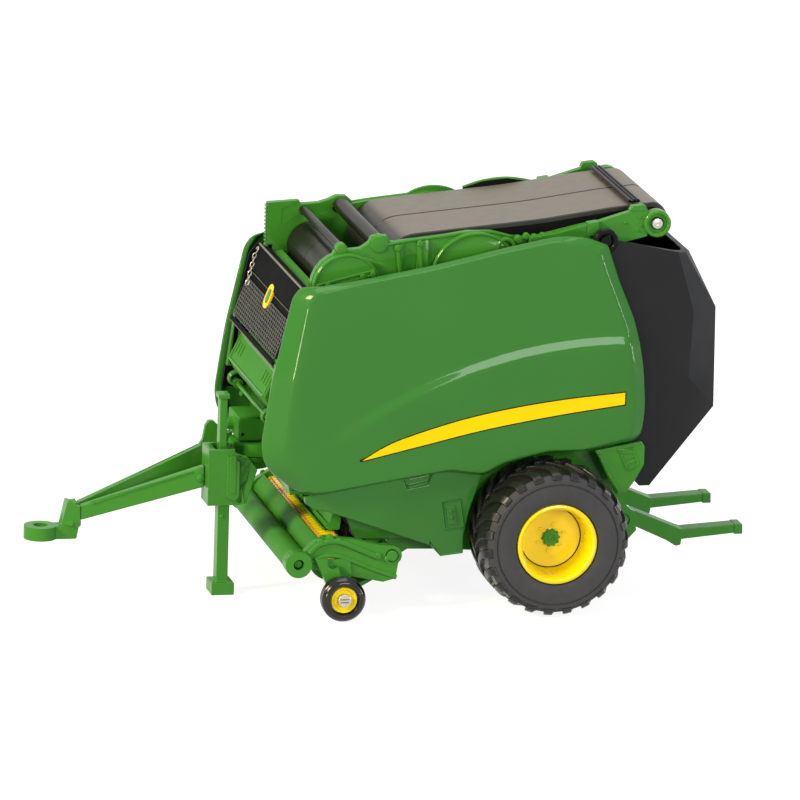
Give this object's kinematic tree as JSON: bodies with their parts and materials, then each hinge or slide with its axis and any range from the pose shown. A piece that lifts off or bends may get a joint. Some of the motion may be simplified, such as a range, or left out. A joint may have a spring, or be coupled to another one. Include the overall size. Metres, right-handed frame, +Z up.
{
  "type": "toy round baler",
  "caption": "Towed toy round baler with opening tailgate, belts over rollers, lifting pickup on gauge wheels, drawbar with hitch eye, sliding jack and bale ramp.",
  "frame": {"origin": "on the ground under the middle of the whole model's box", "axes": "+Z up, -X towards the tractor, -Y the machine's left side"},
  "size_m": [0.173, 0.085, 0.0967],
  "materials": {
    "green_paint": "gloss",
    "yellow_plastic": "gloss",
    "black_plastic": "satin",
    "belt_rubber": "satin",
    "tyre": "matte",
    "steel_pin": "satin"
  },
  "bodies": {
    "chassis": {"axle": "steel_pin", "belt_arm_left": "green_paint", "belt_arm_right": "green_paint", "belt_clamp": "black_plastic", "belt_drum": "black_plastic", "belts": "belt_rubber", "chamber_floor": "green_paint", "drawbar_beam_left": "green_paint", "drawbar_beam_right": "green_paint", "front_crossbeam": "green_paint", "front_grille": "black_plastic", "front_panel": "green_paint", "gearbox": "green_paint", "guide_roller": "black_plastic", "hinge_pin_left": "steel_pin", "hinge_pin_right": "steel_pin", "hitch_eye": "green_paint", "jack_housing": "green_paint", "lower_skirt_left": "green_paint", "lower_skirt_right": "green_paint", "net_box": "green_paint", "pickup_shaft": "green_paint", "ramp_arm_left": "green_paint", "ramp_arm_right": "green_paint", "ramp_tube": "green_paint", "rear_roller": "black_plastic", "rear_roller_pin": "steel_pin", "rear_skirt_left": "green_paint", "rear_skirt_right": "green_paint", "side_panel_left": "green_paint", "side_panel_right": "green_paint", "side_wall_left": "green_paint", "side_wall_right": "green_paint", "thin_roller": "black_plastic"},
    "wheel_left": {"tyre_left": "tyre", "rim_left": "yellow_plastic", "hub_cap_left": "green_paint"},
    "wheel_right": {"tyre_right": "tyre", "rim_right": "yellow_plastic", "hub_cap_right": "green_paint"},
    "tailgate": {"rear_hood": "black_plastic"},
    "jack": {"jack_leg": "green_paint"},
    "pickup": {"pickup_side_left": "green_paint", "pickup_side_right": "green_paint", "pickup_reel": "yellow_plastic", "pickup_crossbar": "green_paint", "pickup_pan": "green_paint", "gauge_pin_left": "steel_pin", "gauge_pin_right": "steel_pin"},
    "crop_roller": {"pickup_roller": "green_paint"},
    "gauge_wheel_left": {"gauge_tyre_left": "tyre", "gauge_rim_left": "yellow_plastic"},
    "gauge_wheel_right": {"gauge_tyre_right": "tyre", "gauge_rim_right": "yellow_plastic"}
  },
  "joints": [
    {"name": "wheel_left_spin", "type": "hinge", "parent": "chassis", "child": "wheel_left", "pos_m": [0.03425, 0, 0.01815], "axis": [0, 1, 0], "continuous": true},
    {"name": "wheel_right_spin", "type": "hinge", "parent": "chassis", "child": "wheel_right", "pos_m": [0.03425, 0, 0.01815], "axis": [0, 1, 0], "continuous": true},
    {"name": "tailgate_hinge", "type": "hinge", "parent": "chassis", "child": "tailgate", "pos_m": [0.04685, 0, 0.0886], "axis": [0, -1, 0], "range_deg": [0, 80]},
    {"name": "jack_slide", "type": "slide", "parent": "chassis", "child": "jack", "axis": [0, 0, 1], "range_m": [0, 0.013]},
    {"name": "pickup_lift", "type": "hinge", "parent": "chassis", "child": "pickup", "pos_m": [-0.00375, 0, 0.0142], "axis": [0, 1, 0], "range_deg": [0, 12]},
    {"name": "crop_roller_spin", "type": "hinge", "parent": "pickup", "child": "crop_roller", "pos_m": [-0.02665, 0, 0.0129], "axis": [0, 1, 0], "continuous": true},
    {"name": "gauge_wheel_left_spin", "type": "hinge", "parent": "pickup", "child": "gauge_wheel_left", "pos_m": [-0.01655, 0, 0.0053], "axis": [0, 1, 0], "continuous": true},
    {"name": "gauge_wheel_right_spin", "type": "hinge", "parent": "pickup", "child": "gauge_wheel_right", "pos_m": [-0.01655, 0, 0.0053], "axis": [0, 1, 0], "continuous": true}
  ]
}
